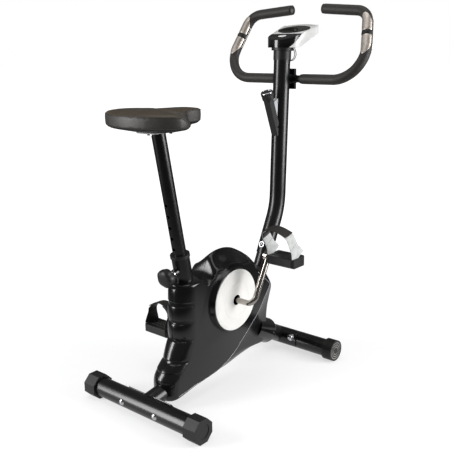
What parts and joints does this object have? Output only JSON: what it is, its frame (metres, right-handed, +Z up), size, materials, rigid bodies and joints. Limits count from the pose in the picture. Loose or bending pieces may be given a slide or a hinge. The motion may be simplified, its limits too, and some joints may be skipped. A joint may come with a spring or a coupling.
{
  "type": "exercise bike",
  "caption": "Upright home exercise bike with a charcoal drive housing, white side covers, looped foam handlebar, padded saddle on a height-set post and a small console.",
  "frame": {"origin": "middle of the bounding box in plan, on the floor", "axes": "+X points forward from the saddle to the handlebar, +Y to the rider's left, +Z up"},
  "size_m": [0.8128, 0.523, 1.1056],
  "materials": {
    "frame_paint": "satin black powder coat on steel tube",
    "black_plastic": "moulded black plastic, fine texture",
    "housing_plastic": "moulded charcoal plastic, satin with a fine texture",
    "white_plastic": "glossy white moulded cover",
    "gloss_white": "glossy white moulding",
    "gloss_black": "glossy black moulding",
    "grey_plastic": "light grey moulded plastic",
    "lens": "dark tinted display window",
    "circuit_board": "green glass-fibre board",
    "cable_rubber": "black rubber",
    "steel": "bare steel",
    "zinc": "bright zinc plating",
    "chrome": "polished chrome plating",
    "cast_iron": "turned cast iron",
    "pedal_plastic": "moulded black plastic, ribbed tread",
    "strap_rubber": "flexible moulded strap",
    "saddle_vinyl": "padded dark grey-brown vinyl",
    "foam": "closed-cell foam grip",
    "brushed_plate": "thin brushed steel sensor plate"
  },
  "bodies": {
    "frame": {"rear_stabiliser": "frame_paint", "rear_cap_left": "black_plastic", "rear_cap_right": "black_plastic", "front_stabiliser": "frame_paint", "roller_plugs": "black_plastic", "stabiliser_bolts": "zinc", "base_tube": "frame_paint", "front_tube": "frame_paint", "seat_tube": "frame_paint", "post_stub": "frame_paint", "crank_bracket": "frame_paint", "bearings": "steel", "flywheel_bracket": "frame_paint", "drive_belt": "cable_rubber", "brake_band": "steel", "brake_spring": "steel", "brake_cable": "cable_rubber", "speed_sensor": "black_plastic", "housing_left": "housing_plastic", "housing_right": "housing_plastic", "housing_screws": "zinc", "side_cover_left": "white_plastic", "side_cover_right": "white_plastic", "seat_bushing": "black_plastic", "handlebar_post": "frame_paint", "post_bolts": "zinc", "clamp_saddle": "frame_paint", "clamp_cap": "frame_paint", "console_neck": "black_plastic", "console_base": "gloss_black", "console_top": "gloss_white", "console_lens": "lens", "console_board": "circuit_board", "console_wires": "cable_rubber", "tension_body": "black_plastic", "tension_web": "grey_plastic"},
    "crank": {"crank": "chrome", "drive_pulley": "black_plastic", "pedal_axles": "steel"},
    "flywheel": {"flywheel": "cast_iron", "flywheel_axle": "steel"},
    "pedal_left": {"pedal_left": "pedal_plastic", "strap_left": "strap_rubber"},
    "pedal_right": {"pedal_right": "pedal_plastic", "strap_right": "strap_rubber"},
    "seat": {"seat_post": "frame_paint", "saddle_pan": "black_plastic", "saddle_pad": "saddle_vinyl", "saddle_nuts": "zinc"},
    "lock_pin": {"lock_pin": "zinc"},
    "lock_knob": {"lock_knob": "black_plastic"},
    "handlebar": {"handlebar": "frame_paint", "grip_left": "foam", "grip_right": "foam", "pulse_plates": "brushed_plate", "bar_plugs": "black_plastic"},
    "tension_knob": {"tension_knob": "black_plastic"},
    "console_button": {"console_button": "gloss_white"},
    "roller_left": {"roller_left": "black_plastic"},
    "roller_right": {"roller_right": "black_plastic"}
  },
  "joints": [
    {"name": "crank_spin", "type": "hinge", "parent": "frame", "child": "crank", "pos_m": [-0.04882, 0, 0.259], "axis": [0, 1, 0], "continuous": true},
    {"name": "flywheel_spin", "type": "hinge", "parent": "frame", "child": "flywheel", "pos_m": [0.05218, 0, 0.262], "axis": [0, 1, 0], "continuous": true},
    {"name": "pedal_left_spin", "type": "hinge", "parent": "crank", "child": "pedal_left", "pos_m": [-0.11944, 0.1855, 0.12893], "axis": [0, 1, 0], "continuous": true},
    {"name": "pedal_right_spin", "type": "hinge", "parent": "crank", "child": "pedal_right", "pos_m": [0.0218, -0.1855, 0.38906], "axis": [0, 1, 0], "continuous": true},
    {"name": "seat_slide", "type": "slide", "parent": "frame", "child": "seat", "axis": [-0.1908, 0, 0.9816], "range_m": [-0.162, 0.0648]},
    {"name": "lock_pin_pull", "type": "slide", "parent": "frame", "child": "lock_pin", "axis": [-0.9816, 0, -0.1908], "range_m": [0, 0.012], "stiffness_N_per_m": 900, "springref_m": -0.004},
    {"name": "lock_knob_turn", "type": "hinge", "parent": "lock_pin", "child": "lock_knob", "pos_m": [-0.21068, 0, 0.38547], "axis": [-0.9816, 0, -0.1908], "range_deg": [0, 540]},
    {"name": "handlebar_tilt", "type": "hinge", "parent": "frame", "child": "handlebar", "pos_m": [0.29023, 0, 0.88], "axis": [0, 1, 0], "range_deg": [-10, 22]},
    {"name": "tension_knob_turn", "type": "hinge", "parent": "frame", "child": "tension_knob", "pos_m": [0.18621, 0, 0.82056], "axis": [-0.3681, 0, 0.9298], "range_deg": [0, 315]},
    {"name": "console_button_press", "type": "slide", "parent": "frame", "child": "console_button", "axis": [0.309, 0, -0.9511], "range_m": [0, 0.0015], "stiffness_N_per_m": 700, "springref_m": -0.001},
    {"name": "roller_left_spin", "type": "hinge", "parent": "frame", "child": "roller_left", "pos_m": [0.25618, 0.2, 0.0336], "axis": [0, 1, 0], "continuous": true},
    {"name": "roller_right_spin", "type": "hinge", "parent": "frame", "child": "roller_right", "pos_m": [0.25618, -0.2, 0.0336], "axis": [0, 1, 0], "continuous": true}
  ],
  "couplings": [
    {"joint": "flywheel_spin", "follows": "crank_spin", "ratio": 4.3333}
  ]
}
